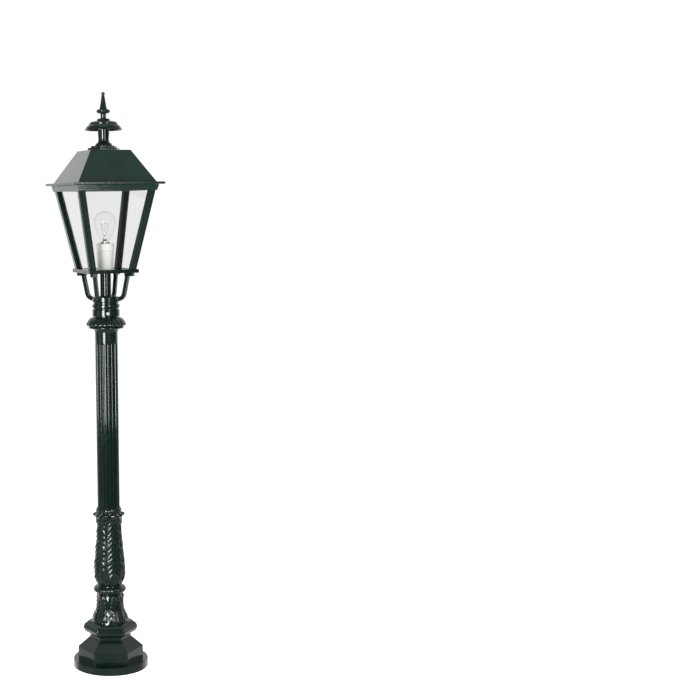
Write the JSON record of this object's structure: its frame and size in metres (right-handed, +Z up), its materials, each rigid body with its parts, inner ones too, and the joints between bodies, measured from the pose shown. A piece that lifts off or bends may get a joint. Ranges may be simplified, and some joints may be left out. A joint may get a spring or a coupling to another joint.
{
  "type": "street lamp post",
  "caption": "Short street lamp post: round foot plate, hexagonal foot, leaf castings, fluted shaft and a square tapered glass lantern with a pyramid roof and finial.",
  "frame": {"origin": "centre of the foot plate's underside", "axes": "+Z up along the post; -Y is the side that a flat of the hexagonal foot faces; the lantern is turned 19.5 degrees about +Z"},
  "size_m": [0.3128, 0.3128, 1.5253],
  "materials": {
    "green_paint": "gloss",
    "zinc_steel": "satin",
    "stainless": "polished",
    "terminal_plastic": "satin",
    "lead_sheath": "satin",
    "clear_glass": "polished",
    "porcelain": "gloss",
    "brass_contact": "satin",
    "lamp_glass": "polished",
    "cap_metal": "satin",
    "black_insulator": "gloss",
    "tungsten": "satin"
  },
  "bodies": {
    "post": {"base_plate": "green_paint", "hex_foot": "green_paint", "leaf_pedestal": "green_paint", "beaded_ring": "green_paint", "acanthus_vase": "green_paint", "leaf_collar": "green_paint", "fluted_shaft": "green_paint", "spigot": "green_paint", "capital_ring": "green_paint", "gadroon_skirt": "green_paint", "rod_bridge": "zinc_steel", "bridge_screws": "zinc_steel", "tie_rod": "zinc_steel", "rod_washers": "zinc_steel", "rod_nuts": "zinc_steel", "terminal_block": "terminal_plastic", "supply_lead": "lead_sheath"},
    "lantern": {"arm_bracket": "green_paint", "set_screws": "stainless", "stem": "green_paint", "stem_tube": "zinc_steel", "stem_nuts": "zinc_steel", "bottom_frame": "green_paint", "floor_plate": "green_paint", "post_screws": "zinc_steel", "corner_post_1": "green_paint", "corner_post_2": "green_paint", "corner_post_3": "green_paint", "corner_post_4": "green_paint", "glass_pane_1": "clear_glass", "glass_pane_2": "clear_glass", "glass_pane_3": "clear_glass", "glass_pane_4": "clear_glass", "top_frame": "green_paint", "top_screws": "zinc_steel", "holder_body": "porcelain", "holder_ring": "porcelain", "holder_shell": "brass_contact", "holder_contact": "brass_contact"},
    "bulb": {"bulb_glass": "lamp_glass", "bulb_mount": "lamp_glass", "bulb_cap": "cap_metal", "bulb_insulator": "black_insulator", "bulb_contact": "cap_metal", "filament_leads": "tungsten", "filament": "tungsten"},
    "roof": {"roof_shell": "green_paint", "chimney_base": "green_paint", "canopy": "green_paint", "finial_rod": "zinc_steel", "roof_washer": "zinc_steel", "roof_nut": "zinc_steel"},
    "finial": {"finial": "green_paint"}
  },
  "joints": [
    {"name": "lantern_turn", "type": "hinge", "parent": "post", "child": "lantern", "pos_m": [0, 0, 0.95], "axis": [0, 0, 1], "range_deg": [-180, 180]},
    {"name": "roof_lift", "type": "slide", "parent": "lantern", "child": "roof", "axis": [0, 0, 1], "range_m": [0, 0.25]},
    {"name": "bulb_unscrew", "type": "hinge", "parent": "lantern", "child": "bulb", "pos_m": [0, 0, 1.15], "axis": [0, 0, 1], "range_deg": [0, 1800]},
    {"name": "finial_unscrew", "type": "hinge", "parent": "roof", "child": "finial", "pos_m": [0, 0, 1.46], "axis": [0, 0, 1], "range_deg": [0, 3600]}
  ]
}
